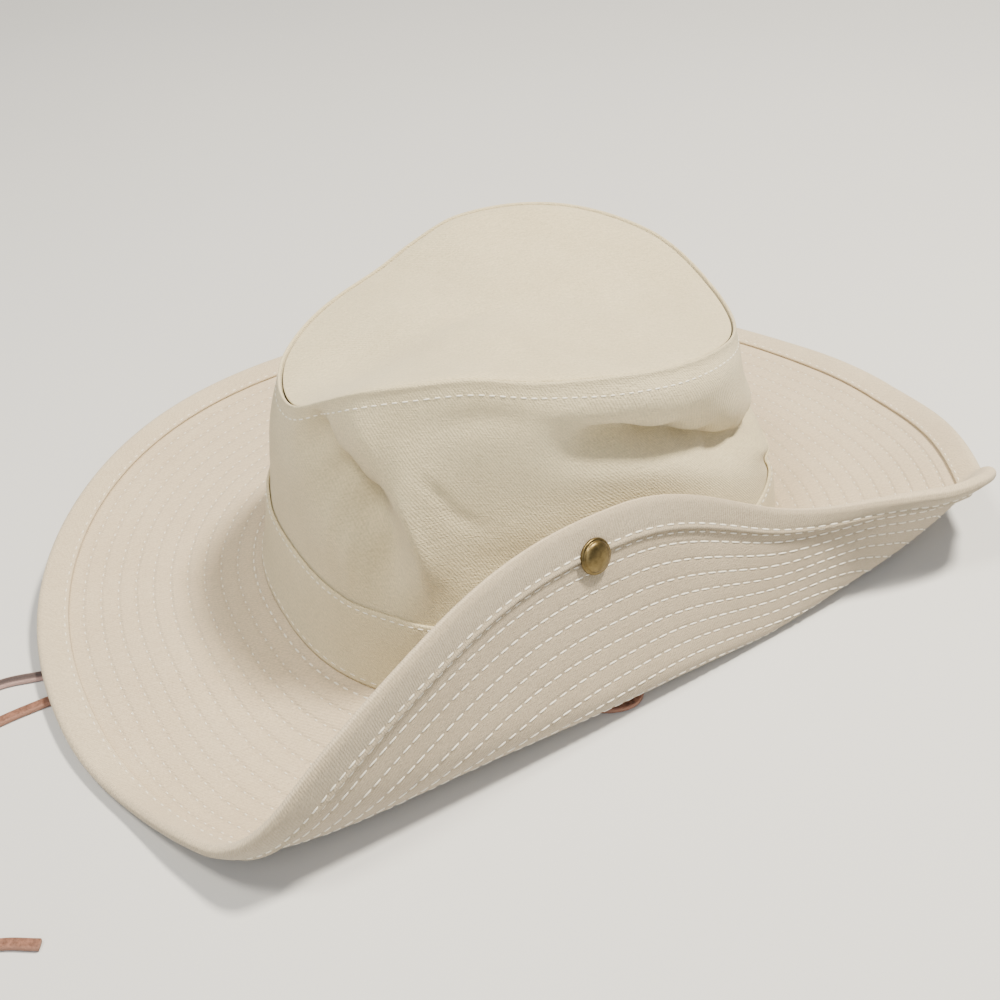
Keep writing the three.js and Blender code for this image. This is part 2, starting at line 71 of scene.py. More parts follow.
# angle, rise, curl
BRIM_SHAPE = [
    (-90, -0.08, 0.55), (-68, -0.32, 0.02), (-48, -0.08, -0.3), (-30, 0.3, 0.35), (0, 0.08, 0.4),
    (40, -0.14, 0.45), (90, -0.08, 0.6), (140, 0.02, 0.75), (170, -0.1, 0.35), (180, -0.1, 0.3),
    (198, -0.07, 0.85), (215, 0.035, 0.75), (242, 0.16, 0.7),
]
# angle, height of the tip seam as a share of the crown's height
TIP_RIM = [
    (0, 0.82), (30, 0.94), (60, 1.03), (85, 1.035), (97, 0.975), (108, 0.915), (125, 0.885),
    (150, 0.86), (180, 0.87), (210, 1.06), (225, 1.115), (240, 1.135), (255, 1.09), (270, 1.05),
    (300, 0.95), (330, 0.85),
]
# angle, height, across, tall, depth; the valley from 272 to 323 is up to 2 mm deeper than in the CAD
CROWN_FOLDS = [
    (268, 0.56, 45, 0.3, 0.1), (185, 0.35, 35, 0.3, 0.06), (195, 0.89, 6, 0.09, 0.06),
    (203, 0.77, 7, 0.1, 0.1), (211, 0.64, 7, 0.11, 0.11), (217, 0.48, 6, 0.14, 0.07),
    (200, 0.5, 10, 0.14, -0.02), (212, 0.86, 7, 0.1, -0.025), (224, 0.7, 7, 0.14, -0.035),
    (229, 0.52, 7, 0.14, -0.03), (272, 0.81, 9, 0.08, 0.085), (285, 0.76, 9, 0.085, 0.13),
    (298, 0.69, 9, 0.085, 0.14), (311, 0.62, 8, 0.085, 0.13), (323, 0.57, 8, 0.08, 0.08),
    (288, 0.93, 25, 0.08, -0.045), (343, 0.82, 20, 0.22, 0.045), (338, 0.53, 9, 0.06, 0.08),
]
# Finer creases: angle, share of height, lean in degrees, half length, half width and depth in mm
CREASES = [
    (231, 0.69, -50, 8, 1.8, 1.0), (236, 0.6, -30, 10, 2.2, 0.7), (292, 0.63, -9, 34, 6, -2.2),
    (305, 0.58, -8, 12, 3.2, 3.2), (317, 0.655, -20, 8, 3, -2.2), (325, 0.47, -25, 12, 4, -2.6),
    (331, 0.36, -35, 14, 3, 1.8), (199, 0.9, -52, 14, 2.6, 1.6), (206, 0.74, -50, 16, 3.2, 1.8),
    (222, 0.66, -62, 20, 3.2, -1.8), (226, 0.52, -80, 16, 3.4, -1.8), (206, 0.46, 85, 14, 3, -1.0),
    (201, 0.6, 80, 8, 1.4, -0.5), (252, 0.42, -15, 30, 7, 1.2), (246, 0.9, 4, 22, 4, 1.4),
    (262, 0.93, 8, 34, 4, -0.9), (278, 0.45, 12, 24, 5, 0.7), (240, 0.5, 10, 26, 9, -0.8),
    (60, 0.6, 50, 22, 6, 1.4), (95, 0.5, -35, 26, 7, 1.6), (130, 0.55, 60, 20, 6, 1.5),
    (160, 0.6, 85, 20, 6, 1.4), (20, 0.55, -60, 20, 6, 1.5), (352, 0.4, 70, 18, 5, 1.2),
]
# Sagging lips over the dents: angle, share of height, across in degrees, tall, drop in mm
LIPS = [
    (270, 0.91, 8, 0.06, 4), (284, 0.86, 10, 0.07, 7), (299, 0.79, 9, 0.07, 8), (312, 0.71, 8, 0.06, 7),
    (323, 0.65, 7, 0.05, 4), (204, 0.86, 7, 0.07, 4), (213, 0.76, 7, 0.07, 4),
]
# Middle lines of the laces: x, y, z. The near one bows 6 mm further out under the fold than in the CAD,
# so that a bit of it shows.
NEAR_LACE = [
    (8, -78.5, 3.6), (3, -82.5, 2.1), (-1.5, -89.5, 1.3), (-7, -94.6, 1.2), (-14, -94, 1.2),
    (-23, -88, 1.2),
    (-48, -66, 1.2), (-70, -42, 1.2), (-88, -17, 1.2), (-106, 1, 1.2), (-130, 10, 1.2),
    (-155, 13.5, 1.2), (-180, 14, 1.2), (-202, 13, 1.2), (-225, 8, 1.2), (-250, -3, 1.4),
    (-263, -12.2, 2.5), (-272.6, -20, 3.2), (-286.4, -31.6, 3.2), (-293.5, -40, 2.3),
    (-298, -52, 1.4), (-297, -67, 1.2), (-287, -77, 1.2), (-272, -81, 1.2), (-254, -80.5, 1.2),
    (-237, -79.5, 1.2), (-224, -82.5, 1.2), (-213, -89, 1.2),
]
FAR_LACE = [
    (3, 80, 10.8), (-6, 74.5, 8), (-16, 69.5, 4.8), (-28, 65, 2.2), (-42, 61, 1.3),
    (-58, 57.5, 1.2), (-90, 49, 1.2), (-125, 39, 1.2), (-152, 31, 1.2), (-177, 27.5, 1.2),
    (-198, 32, 1.2), (-220, 27, 1.2), (-243, 12, 1.4), (-265, -7.6, 2.6), (-275.6, -16.4, 3.2),
    (-289.4, -28, 3.2), (-298.5, -34, 2.4), (-309, -38, 1.5), (-322, -40, 1.2), (-336, -38, 1.2),
    (-348, -34, 1.2),
]
LACE_WIDTH, LACE_THICKNESS = 4, 2
SLIDE_PLACE, SLIDE_HEADING, SLIDE_LENGTH = (-281, -24), 220, 12
SLIDE_HOLE, SLIDE_WALL = (10.1, 3.4), 1.5


def metres(points):
    return (np.asarray(points, float) + ORIGIN) / 1000


# Camera and light


def aim_camera():
    """Camera at the photo's angle: azimuth, elevation, roll, distance and focal length in pixels."""
    azimuth, elevation, roll = math.radians(-25.047), math.radians(37.055), math.radians(-4.612)
    distance, focal = 541.8, 1506.8
    back = Vector((math.sin(azimuth) * math.cos(elevation), -math.cos(azimuth) * math.cos(elevation),
                   math.sin(elevation)))
    place = Vector((-17.164, -20.917, 45)) + Vector(ORIGIN) + back * distance
    right = Vector((0, 0, 1)).cross(back).normalized()
    up = back.cross(right)
    rolled = right * math.cos(roll) + up * math.sin(roll)
    data = bpy.data.cameras.new("photo_camera")
    data.sensor_width = 36
    data.lens = 36 * focal / 1000
    data.clip_start = 0.01
    camera = bpy.data.objects.new("photo_camera", data)
    bpy.context.scene.collection.objects.link(camera)
    turn = Matrix((rolled, back.cross(rolled), back)).transposed().to_4x4()
    camera.matrix_world = Matrix.Translation(place / 1000) @ turn
    bpy.context.scene.camera = camera


def area_light(name, place, size, power, colour):
    data = bpy.data.lights.new(name, "AREA")
    data.shape = "DISK"
    data.size = size
    data.energy = power
    data.color = colour
    light = bpy.data.objects.new(name, data)
    bpy.context.scene.collection.objects.link(light)
    light.location = place
    light.rotation_euler = (Vector((0, 0, 0.03)) - Vector(place)).to_track_quat("-Z", "Y").to_euler()


aim_camera()
area_light("key", (0.46, -0.26, 1.26), 0.2, 42, (1, 0.92, 0.77))
area_light("second", (-0.5, -0.1, 1.25), 0.3, 13, (1, 0.93, 0.8))
area_light("fill", (-0.7, -1.2, 0.9), 1.6, 11, (0.95, 0.97, 1))


# Materials


def shader(name):
    material = bpy.data.materials.new(name)
    material.use_nodes = True
    tree = material.node_tree
    tree.nodes.clear()

    def add(kind, values=None, **settings):
        node = tree.nodes.new("ShaderNode" + kind)
        for key, value in settings.items():
            setattr(node, key, value)
        for key, value in (values or {}).items():
            if isinstance(value, bpy.types.NodeSocket):
                tree.links.new(value, node.inputs[key])
            else:
                node.inputs[key].default_value = value
        return node

    return material, add


def finish_shader(add, surface):
    add("OutputMaterial", {"Surface": surface.outputs["BSDF"]})


def blend_colours(add, factor, first, second, kind="MIX"):
    mix = add("Mix", data_type="RGBA", blend_type=kind)
    tree = mix.id_data
    for socket, value in ((mix.inputs[0], factor), (mix.inputs[6], first), (mix.inputs[7], second)):
        if isinstance(value, bpy.types.NodeSocket):
            tree.links.new(value, socket)
        elif isinstance(value, tuple):
            socket.default_value = (*value, 1)
        else:
            socket.default_value = value
    return mix.outputs[2]


def cloth(name, colour, shade, twill_scale, rows=False, bias=False):
    """Cotton twill: diagonal weave, slubs, soft tone changes, and pressed stitch rows with painted shade
    in their grooves where rows is set. The attribute under is 1 on cloth that faces down when the brim is
    flat, and such cloth gets painted shade."""
    material, add = shader(name)
    place = add("Attribute", attribute_name="cloth").outputs["Vector"]
    turned = add("Mapping", {"Vector": place, "Rotation": (0, 0, math.radians(45 if bias else 4))})
    weave = turned.outputs["Vector"]
    tone = add("TexNoise", {"Vector": place, "Scale": 0.035, "Detail": 4, "Roughness": 0.6})
    speck = add("TexNoise", {"Vector": weave, "Scale": 1.1, "Detail": 3, "Roughness": 0.7})
    warp = add("Mapping", {"Vector": weave, "Scale": (0.22, 2.6, 1)})
    slub = add("TexNoise", {"Vector": warp.outputs["Vector"], "Scale": 1, "Detail": 3, "Roughness": 0.65})
    twill = add("TexWave", {"Vector": weave, "Scale": twill_scale, "Distortion": 2.2, "Detail": 3,
                            "Detail Scale": 1.2}, bands_direction="DIAGONAL")
    soft = add("MapRange", {"Value": tone.outputs["Fac"], "From Min": 0.3, "From Max": 0.7})
    base = blend_colours(add, soft.outputs["Result"], shade, colour)
    dots = add("MapRange", {"Value": speck.outputs["Fac"], "From Min": 0.25, "From Max": 0.75,
                            "To Min": 0.8, "To Max": 1.14})
    threads = add("MapRange", {"Value": slub.outputs["Fac"], "From Min": 0.3, "From Max": 0.7,
                               "To Min": 0.88, "To Max": 1.08})
    # Painted shade: cloth marked by the attribute under is darkened
    under = add("Attribute", attribute_name="under").outputs["Fac"]
    painted_underside_shade = add("MapRange", {"Value": under, "To Min": 1, "To Max": UNDERSIDE_PAINTED_SHADE})
    ribs = add("MapRange", {"Value": twill.outputs["Fac"], "To Min": 0.95, "To Max": 1.03})
    shading = dots.outputs["Result"]
    for factor in (threads, painted_underside_shade, ribs):
        shading = add("Math", {0: shading, 1: factor.outputs["Result"]}, operation="MULTIPLY").outputs[0]
    base = blend_colours(add, 1.0, base, shading, "MULTIPLY")
    rough = add("MapRange", {"Value": speck.outputs["Fac"], "To Min": 0.78, "To Max": 0.98})
    height = add("Math", {0: twill.outputs["Fac"], 1: 0.25, 2: slub.outputs["Fac"]},
                 operation="MULTIPLY_ADD").outputs[0]
    height = add("Math", {0: speck.outputs["Fac"], 1: 0.7, 2: height},
                 operation="MULTIPLY_ADD").outputs[0]
    bump = add("Bump", {"Height": height, "Strength": 0.9, "Distance": 0.00045})
    if rows:
        reach = add("Attribute", attribute_name="reach").outputs["Fac"]
        shifted = add("Math", {0: reach, 1: ROW_FIRST}, operation="SUBTRACT")
        away = add("Math", {0: shifted.outputs[0], 1: ROW_PITCH / 2}, operation="PINGPONG")
        dent = add("MapRange", {"Value": away.outputs[0], "From Min": 0.1, "From Max": 1.3},
                   interpolation_type="SMOOTHSTEP")
        bump = add("Bump", {"Height": dent.outputs["Result"], "Strength": 0.7, "Distance": 0.0004,
                            "Normal": bump.outputs["Normal"]})
        # Painted shade: the cloth's colour is darkened in the stitch grooves
        line = add("MapRange", {"Value": dent.outputs["Result"], "To Min": 0.93, "To Max": 1})
        base = blend_colours(add, 1.0, base, line.outputs["Result"], "MULTIPLY")
    surface = add("BsdfPrincipled", {"Base Color": base, "Roughness": rough.outputs["Result"],
                                     "Normal": bump.outputs["Normal"], "Sheen Weight": 0.25,
                                     "Sheen Roughness": 0.6, "Specular IOR Level": 0.25})
    finish_shader(add, surface)
    return material


def thread_shader():
    material, add = shader("sewing_thread")
    place = add("TexCoord").outputs["Object"]
    twist = add("TexNoise", {"Vector": place, "Scale": 1800, "Detail": 2})
    base = blend_colours(add, twist.outputs["Fac"], (0.74, 0.68, 0.55), (0.9, 0.86, 0.75))
    rough = add("MapRange", {"Value": twist.outputs["Fac"], "To Min": 0.55, "To Max": 0.8})
    bump = add("Bump", {"Height": twist.outputs["Fac"], "Strength": 0.5, "Distance": 0.0001})
    surface = add("BsdfPrincipled", {"Base Color": base, "Roughness": rough.outputs["Result"],
                                     "Normal": bump.outputs["Normal"], "Sheen Weight": 0.2})
    finish_shader(add, surface)
    return material


def leather(name, face, dark, edge):
    """Flat lace or strap: grained face, coloured alike on both sides, and paler cut edges."""
    material, add = shader(name)
    place = add("TexCoord").outputs["Object"]
    blotch = add("TexNoise", {"Vector": place, "Scale": 430, "Detail": 5, "Roughness": 0.7})
    grain = add("TexVoronoi", {"Vector": place, "Scale": 2200}, feature="F1")
    fibre = add("TexNoise", {"Vector": place, "Scale": 1300, "Detail": 3})
    tone = add("MapRange", {"Value": blotch.outputs["Fac"], "From Min": 0.35, "From Max": 0.65})
    base = blend_colours(add, tone.outputs["Result"], dark, face)
    side = add("Attribute", attribute_name="side").outputs["Fac"]
    base = blend_colours(add, side, base, edge)
    rough = add("MapRange", {"Value": fibre.outputs["Fac"], "To Min": 0.5, "To Max": 0.85})
    height = add("Math", {0: grain.outputs["Distance"], 1: 0.6, 2: fibre.outputs["Fac"]},
                 operation="MULTIPLY_ADD")
    bump = add("Bump", {"Height": height.outputs[0], "Strength": 0.8, "Distance": 0.0004})
    surface = add("BsdfPrincipled", {"Base Color": base, "Roughness": rough.outputs["Result"],
                                     "Normal": bump.outputs["Normal"]})
    finish_shader(add, surface)
    return material


def antique_brass():
    material, add = shader("antique_brass")
    place = add("TexCoord").outputs["Object"]
    stain = add("TexNoise", {"Vector": place, "Scale": 420, "Detail": 5, "Roughness": 0.7})
    scratch = add("TexNoise", {"Vector": place, "Scale": 3000, "Detail": 2})
    tone = add("MapRange", {"Value": stain.outputs["Fac"], "From Min": 0.35, "From Max": 0.65})
    base = blend_colours(add, tone.outputs["Result"], (0.1, 0.072, 0.03), (0.19, 0.14, 0.06))
    rough = add("MapRange", {"Value": stain.outputs["Fac"], "To Min": 0.28, "To Max": 0.48})
    bump = add("Bump", {"Height": scratch.outputs["Fac"], "Strength": 0.15, "Distance": 0.0001})
    surface = add("BsdfPrincipled", {"Base Color": base, "Roughness": rough.outputs["Result"],
                                     "Normal": bump.outputs["Normal"], "Metallic": 1.0})
    finish_shader(add, surface)
    return material


def pale_floor():
    material, add = shader("pale_floor")
    place = add("TexCoord").outputs["Object"]
    tone = add("TexNoise", {"Vector": place, "Scale": 3, "Detail": 4})
    base = blend_colours(add, tone.outputs["Fac"], (0.6, 0.6, 0.6), (0.66, 0.66, 0.65))
    rough = add("MapRange", {"Value": tone.outputs["Fac"], "To Min": 0.7, "To Max": 0.85})
    surface = add("BsdfPrincipled", {"Base Color": base, "Roughness": rough.outputs["Result"]})
    finish_shader(add, surface)
    return material


def studio_world():
    world = bpy.data.worlds.new("studio")
    world.use_nodes = True
    world.node_tree.nodes["Background"].inputs["Color"].default_value = (0.92, 0.96, 1, 1)
    world.node_tree.nodes["Background"].inputs["Strength"].default_value = 0.32
    bpy.context.scene.world = world


studio_world()
crown_twill = cloth("crown_twill", (0.685, 0.59, 0.37), (0.63, 0.535, 0.325), 0.48)
brim_twill = cloth("brim_twill", (0.68, 0.55, 0.37), (0.63, 0.505, 0.335), 0.46, rows=True)
binding_twill = cloth("binding_twill", (0.68, 0.56, 0.38), (0.63, 0.515, 0.345), 0.55, bias=True)
thread = thread_shader()
brass = antique_brass()
near_leather = leather("lace_leather_rough", (0.27, 0.12, 0.075), (0.085, 0.036, 0.022),
                       (0.28, 0.14, 0.095))
# The smooth lace's face colour is partly its dark leather and partly painted shade; its pale edge colour
# is partly the cut leather's own and partly a painted highlight
far_leather = leather("lace_leather_smooth", (0.062, 0.042, 0.042), (0.045, 0.03, 0.03),
                      (0.42, 0.27, 0.24))


# Form of the hat


def around(rows, column):
    """Smooth closed curve through a table's rows, by angle in degrees."""
    knots = np.array([row[0] for row in rows], float)
    values = np.array([row[column] for row in rows], float)
    count = len(rows)
    after = np.append(knots, knots[0] + 360)
    spans = np.diff(after)
    wide = spans + np.roll(spans, 1)
    slopes = (np.roll(values, -1) - np.roll(values, 1)) / wide

    def value(angle):
        turned = knots[0] + np.mod(np.asarray(angle, float) - knots[0], 360)
        i = np.clip(np.searchsorted(after, turned, side="right") - 1, 0, count - 1)
        j = (i + 1) % count
        t = (turned - knots[i]) / spans[i]
        rest = 1 - t
        ends = values[i] * (1 + 2 * t) * rest**2 + values[j] * t**2 * (3 - 2 * t)
        return ends + spans[i] * (slopes[i] * t * rest**2 - slopes[j] * t**2 * rest)

    return value


brim_rise, brim_curl, tip_rim = around(BRIM_SHAPE, 1), around(BRIM_SHAPE, 2), around(TIP_RIM, 1)


def turn_between(angle, other):
    return np.mod(angle - other + 180, 360) - 180


def bell(value):
    return np.exp(-(value**2))


def oval(angle, half_length, half_width, power):
    c, s = np.cos(np.radians(angle)), np.sin(np.radians(angle))
    x = half_length * np.sign(c) * np.abs(c) ** (2 / power)
    y = half_width * np.sign(s) * np.abs(s) ** (2 / power)
    out_x = np.sign(c) * np.abs(c) ** (2 - 2 / power) / half_length
    out_y = np.sign(s) * np.abs(s) ** (2 - 2 / power) / half_width
    length = np.hypot(out_x, out_y)
    return x, y, out_x / length, out_y / length


def flat_brim(angle, reach):
    x, y, out_x, out_y = oval(angle, HEAD_HALF_LENGTH, HEAD_HALF_WIDTH, HEAD_POWER)
    corner = bell(turn_between(angle, CORNER_ANGLE) / CORNER_SPREAD)
    far = reach * (1 + CORNER_REACH / BRIM_WIDTH * corner)
    share, curl = far / BRIM_WIDTH, brim_curl(angle)
    out = far * np.cos(brim_rise(angle) + curl * (share - 0.5))
    up = far * np.sin(brim_rise(angle) + curl * (share / 2 - 0.5))
    return np.stack(np.broadcast_arrays(x + out * out_x, y + out * out_y, up), -1)


def turn_up(points):
    skew = math.radians(TURN_SKEW)
    x, y, z = points[..., 0], points[..., 1], points[..., 2]
    along = x * math.cos(skew) + y * math.sin(skew)
    across = -x * math.sin(skew) + y * math.cos(skew)
    share = along / TURN_HALF_SPAN
    line = HEAD_HALF_WIDTH + TURN_OFFSET + TURN_BOW * share**2
    past = -line - across
    radius = np.maximum(TURN_RADIUS + TURN_RADIUS_CHANGE * share, TURN_RADIUS_LEAST)
    whole = np.radians(TURN_ANGLE + TURN_ANGLE_CHANGE * share - TURN_ANGLE_BOW * share**2)
    turned = np.minimum(past / radius, whole)
    rest = np.maximum(past - radius * whole, 0)
    new_across = -line - radius * np.sin(turned) - rest * np.cos(whole)
    rise = radius * (1 - np.cos(turned)) + rest * np.sin(whole)
    rolled = np.stack([along * math.cos(skew) - new_across * math.sin(skew),
                       along * math.sin(skew) + new_across * math.cos(skew), z + rise], -1)
    return np.where((past <= 0)[..., None], points, rolled)


def lay_down(points):
    a, b = math.radians(LEAN_ACROSS), math.radians(-LEAN_LONG)
    x, y, z = points[..., 0], points[..., 1], points[..., 2]
    x, z = x * math.cos(b) + z * math.sin(b), -x * math.sin(b) + z * math.cos(b)
    y, z = y * math.cos(a) - z * math.sin(a), y * math.sin(a) + z * math.cos(a)
    return np.stack([x, y, z + HEAD_LIFT], -1)


def half_thickness(reach):
    bare = BRIM_WALL / 2
    t = np.clip((reach - BRIM_WIDTH + 2 * BINDING_WIDTH) / BINDING_WIDTH, 0, 1)
    return bare + (CLEARANCE + BINDING_WALL) * t * t * (3 - 2 * t)


def brim_middle(angle, reach):
    points = lay_down(turn_up(flat_brim(angle, reach)))
    lowest = np.broadcast_to(half_thickness(reach), points.shape[:-1])
    above = points[..., 2] - lowest
    soft = np.clip(above + FLOOR_BLEND, 0, None) ** 2 / (4 * FLOOR_BLEND)
    points[..., 2] = np.where(above >= FLOOR_BLEND, points[..., 2], lowest + soft)
    return points


def unit(vectors):
    return vectors / np.linalg.norm(vectors, axis=-1, keepdims=True)


def brim_normal(angle, reach):
    out = brim_middle(angle, reach + 0.5) - brim_middle(angle, reach - 0.5)
    side = brim_middle(angle + 0.5, reach) - brim_middle(angle - 0.5, reach)
    return unit(np.cross(out, side))


def brim_point(angle, reach, height):
    height = np.asarray(height, float)
    return brim_middle(angle, reach) + brim_normal(angle, reach) * height[..., None]


def crown_raw(angle, share):
    inset = BAND_WALL + CLEARANCE
    foot = oval(angle, HEAD_HALF_LENGTH - inset, HEAD_HALF_WIDTH - inset, HEAD_POWER)
    tip = oval(angle, TIP_HALF_LENGTH, TIP_HALF_WIDTH, TIP_POWER)
    out = CROWN_PUFF * 4 * share * (1 - share)
    for at, height, across, tall, depth in CROWN_FOLDS:
        spread = bell(turn_between(angle, at) / across)
        out = out - depth * CROWN_HEIGHT * spread * bell((share - height) / tall)
    fade = np.clip((1 - share) / 0.06, 0, 1)
    for at, height, lean, long, wide, depth in CREASES:
        u, v = turn_between(angle, at) * 1.45, (share - height) * CROWN_HEIGHT
        c, s = math.cos(math.radians(lean)), math.sin(math.radians(lean))
        out = out - fade * depth * bell((u * c + v * s) / long) * bell((v * c - u * s) / wide)
    x = foot[0] + (tip[0] - foot[0]) * share + foot[2] * out
    y = foot[1] + (tip[1] + TIP_SHIFT_ACROSS - foot[1]) * share + foot[3] * out
    z = CROWN_HEIGHT * tip_rim(angle) * share
    for at, height, across, tall, drop in LIPS:
        z = z - fade * drop * bell(turn_between(angle, at) / across) * bell((share - height) / tall)
    return np.stack(np.broadcast_arrays(x, y, z), -1)


def crown_normal(angle, share):
    step = 0.01
    low, high = np.maximum(share - step, 0), np.minimum(share + step, 1)
    up = lay_down(crown_raw(angle, high)) - lay_down(crown_raw(angle, low))
    side = lay_down(crown_raw(angle + 1, share)) - lay_down(crown_raw(angle - 1, share))
    normal = np.cross(side, up)
    level = np.clip((np.broadcast_to(share, normal.shape[:-1]) - 0.94) / 0.06, 0, 1)
    normal[..., 2] *= 1 - level
    return unit(normal)


def crown_point(angle, share, depth):
    """Point of the crown's wall a depth in from its outside, seated on the brim at its foot."""
    share = np.asarray(share, float)
    held = np.maximum(share, CROWN_SEAT)
    wall = lay_down(crown_raw(angle, held)) - crown_normal(angle, held) * depth
    foot = brim_point(angle, -(BAND_WALL + CLEARANCE + depth) + 0 * angle,
                      BRIM_WALL / 2 + CLEARANCE + 0 * angle)
    t = np.clip(share / CROWN_SEAT, 0, 1)[..., None]
    return np.where(t >= 1, wall, foot + (wall - foot) * t)


def tip_point(angle, share, height):
    """Point of the tip panel, level across its seam and easing to its middle."""
    rim = crown_raw(angle, np.ones_like(angle + share * 0.0))
    inward = np.minimum(share / (1 - TIP_SEAM), 1)
    middle = CROWN_HEIGHT * TIP_MIDDLE
    x = rim[..., 0] * share
    y = TIP_SHIFT_ACROSS + (rim[..., 1] - TIP_SHIFT_ACROSS) * share
    z = middle + (rim[..., 2] - middle) * inward**TIP_EASE
    swell = (1 - share**2).clip(0)
    ridge = 2.2 * bell((x + 30 + 0.3 * y) / 15) - 2.4 * bell((x + 60) / 17) - 1.4 * bell((x - 22) / 24)
    small = 0.4 * np.sin(x / 13 + y / 17) * np.sin(y / 11 - x / 29) + 0.25 * np.sin(x / 6 + y / 9 + 1)
    laid = lay_down(np.stack([x, y, z + swell * (ridge + small)], -1))
    laid[..., 2] += height
    return laid


# Mesh building


def make_piece(name, points, faces, material, nodes=(), values=None, columns=0, wrap=0):
    """Closed smooth mesh of triangles and quads, riding the hat. With a wrap the cloth's weave goes on
    across the last column of the rings, so that it has one clean seam."""
    mesh = bpy.data.meshes.new(name)
    mesh.from_pydata(metres(points), [], faces)
    mesh.update()
    corners = np.empty(len(mesh.loops), np.int32)
    mesh.loops.foreach_get("vertex_index", corners)
    face_of = np.repeat(np.arange(len(faces)), [len(f) for f in faces])
    for key, (kind, data) in (values or {}).items():
        spread = np.asarray(data, np.float32).reshape(len(points), -1)[corners]
        if wrap and key == "cloth":
            column = corners % columns
            crossing = np.bincount(face_of, column == columns - 1) > 0
            spread[(column == 0) & crossing[face_of], 0] += wrap
        layer = mesh.attributes.new(key, kind, "CORNER")
        layer.data.foreach_set("vector" if kind == "FLOAT_VECTOR" else "value", spread.ravel())
    mesh.polygons.foreach_set("use_smooth", [True] * len(mesh.polygons))
    mesh.materials.append(material)
    piece = bpy.data.objects.new(name, mesh)
    bpy.context.scene.collection.objects.link(piece)
    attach(piece, "root")
    if nodes:
        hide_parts(*nodes)
    return piece


def ring_faces(rings, count, closed):
    """Quads over rings of equal count, joined end to end where closed is set."""
    k = np.arange(rings if closed else rings - 1)[:, None]
    i = np.arange(count)[None, :]
    a, b = k * count + i, k * count + (i + 1) % count
    c, d = (k + 1) % rings * count + (i + 1) % count, (k + 1) % rings * count + i
    return np.stack([a, b, c, d], -1).reshape(-1, 4).tolist()


def full_volume(points, faces):
    """Six times the signed volume inside a closed mesh."""
    p = np.asarray(points, float)
    picks = np.array([(f[0], f[n], f[n + 1]) for f in faces for n in range(1, len(f) - 1)])
    return np.einsum("ij,ij->i", p[picks[:, 0]], np.cross(p[picks[:, 1]], p[picks[:, 2]])).sum()


def outward(points, faces):
    return faces if full_volume(points, faces) > 0 else [f[::-1] for f in faces]


def cloth_place(angle, down):
    """Cloth coordinates in millimetres: along the panel and down it."""
    a, d = np.broadcast_arrays(angle * PANEL_PER_DEGREE, down)
    return np.stack([a, d, 0 * a], -1)


def make_brim():
    """Brim as one skin around both sides, its cloth swelling a little between the rows of stitches."""
    steps = [-(BAND_WALL + CLEARANCE + CROWN_WALL), -1.5]
    steps += list(np.arange(0, 83.3, ROW_PITCH / 4) + 0.25)
    end, half = 83.7, BRIM_WALL / 2
    reach = np.array(steps)[:, None]
    away = np.abs(np.mod(reach - ROW_FIRST + ROW_PITCH / 2, ROW_PITCH) - ROW_PITCH / 2)
    sewn = (reach > 4) * (reach < 72)
    puff = 0.16 * np.sin(np.pi * np.clip(away / (ROW_PITCH / 2), 0, 1) / 2) * sewn
    ripple = 0.1 * np.sin(np.radians(ANGLES[None, :] * 47)) * np.sin(reach * 1.7) * sewn
    top = brim_point(ANGLES[None, :], reach, half + puff + ripple)
    under = brim_point(ANGLES[None, :], reach, -half - puff + ripple)
    edge = [brim_point(ANGLES, end + half * math.cos(t) + 0 * ANGLES, half * math.sin(t) + 0 * ANGLES)
            for t in EDGE_TURN]
    rings = np.concatenate([top, np.array(edge), under[::-1]])
    reaches = steps + [end + half * math.cos(t) for t in EDGE_TURN] + steps[::-1]
    reach_all = np.repeat(np.array(reaches)[:, None], len(ANGLES), 1)
    # The underside rings are marked for painted shade
    below = 0 * reach_all
    below[len(steps) + 3:] = 1
    head = oval(ANGLES, HEAD_HALF_LENGTH, HEAD_HALF_WIDTH, HEAD_POWER)
    place = np.stack([head[0] + reach_all * head[2], head[1] + reach_all * head[3], 0 * reach_all], -1)
    points = rings.reshape(-1, 3)
    faces = outward(points, ring_faces(len(rings), len(ANGLES), True))
    return make_piece("brim_cloth", points, faces, brim_twill, ("brim",),
                      {"cloth": ("FLOAT_VECTOR", place), "reach": ("FLOAT", reach_all),
                       "under": ("FLOAT", below)})


